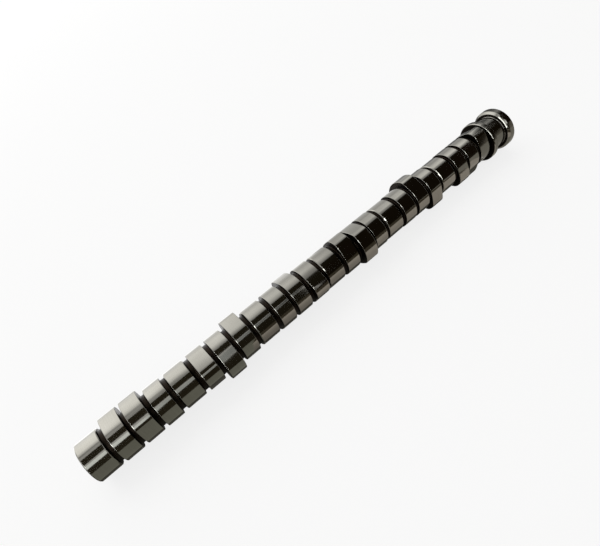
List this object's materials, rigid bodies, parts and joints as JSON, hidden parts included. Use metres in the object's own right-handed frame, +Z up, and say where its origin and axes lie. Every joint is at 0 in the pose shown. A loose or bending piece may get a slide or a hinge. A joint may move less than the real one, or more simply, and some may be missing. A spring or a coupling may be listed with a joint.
{
  "type": "camshaft",
  "caption": "One-piece steel camshaft for a large in-line engine, with ground journals and lobes, a thrust collar and a bolted drive flange, lying at rest.",
  "frame": {"origin": "on the floor under the middle of the shaft's length, directly below its axis", "axes": "+X along the shaft from the plain end to the drive flange, +Z up"},
  "size_m": [1.0258, 0.0899, 0.09],
  "materials": {
    "ground_steel": "ground and polished, lightly oiled"
  },
  "bodies": {
    "root": {"camshaft": "ground_steel"}
  },
  "joints": []
}
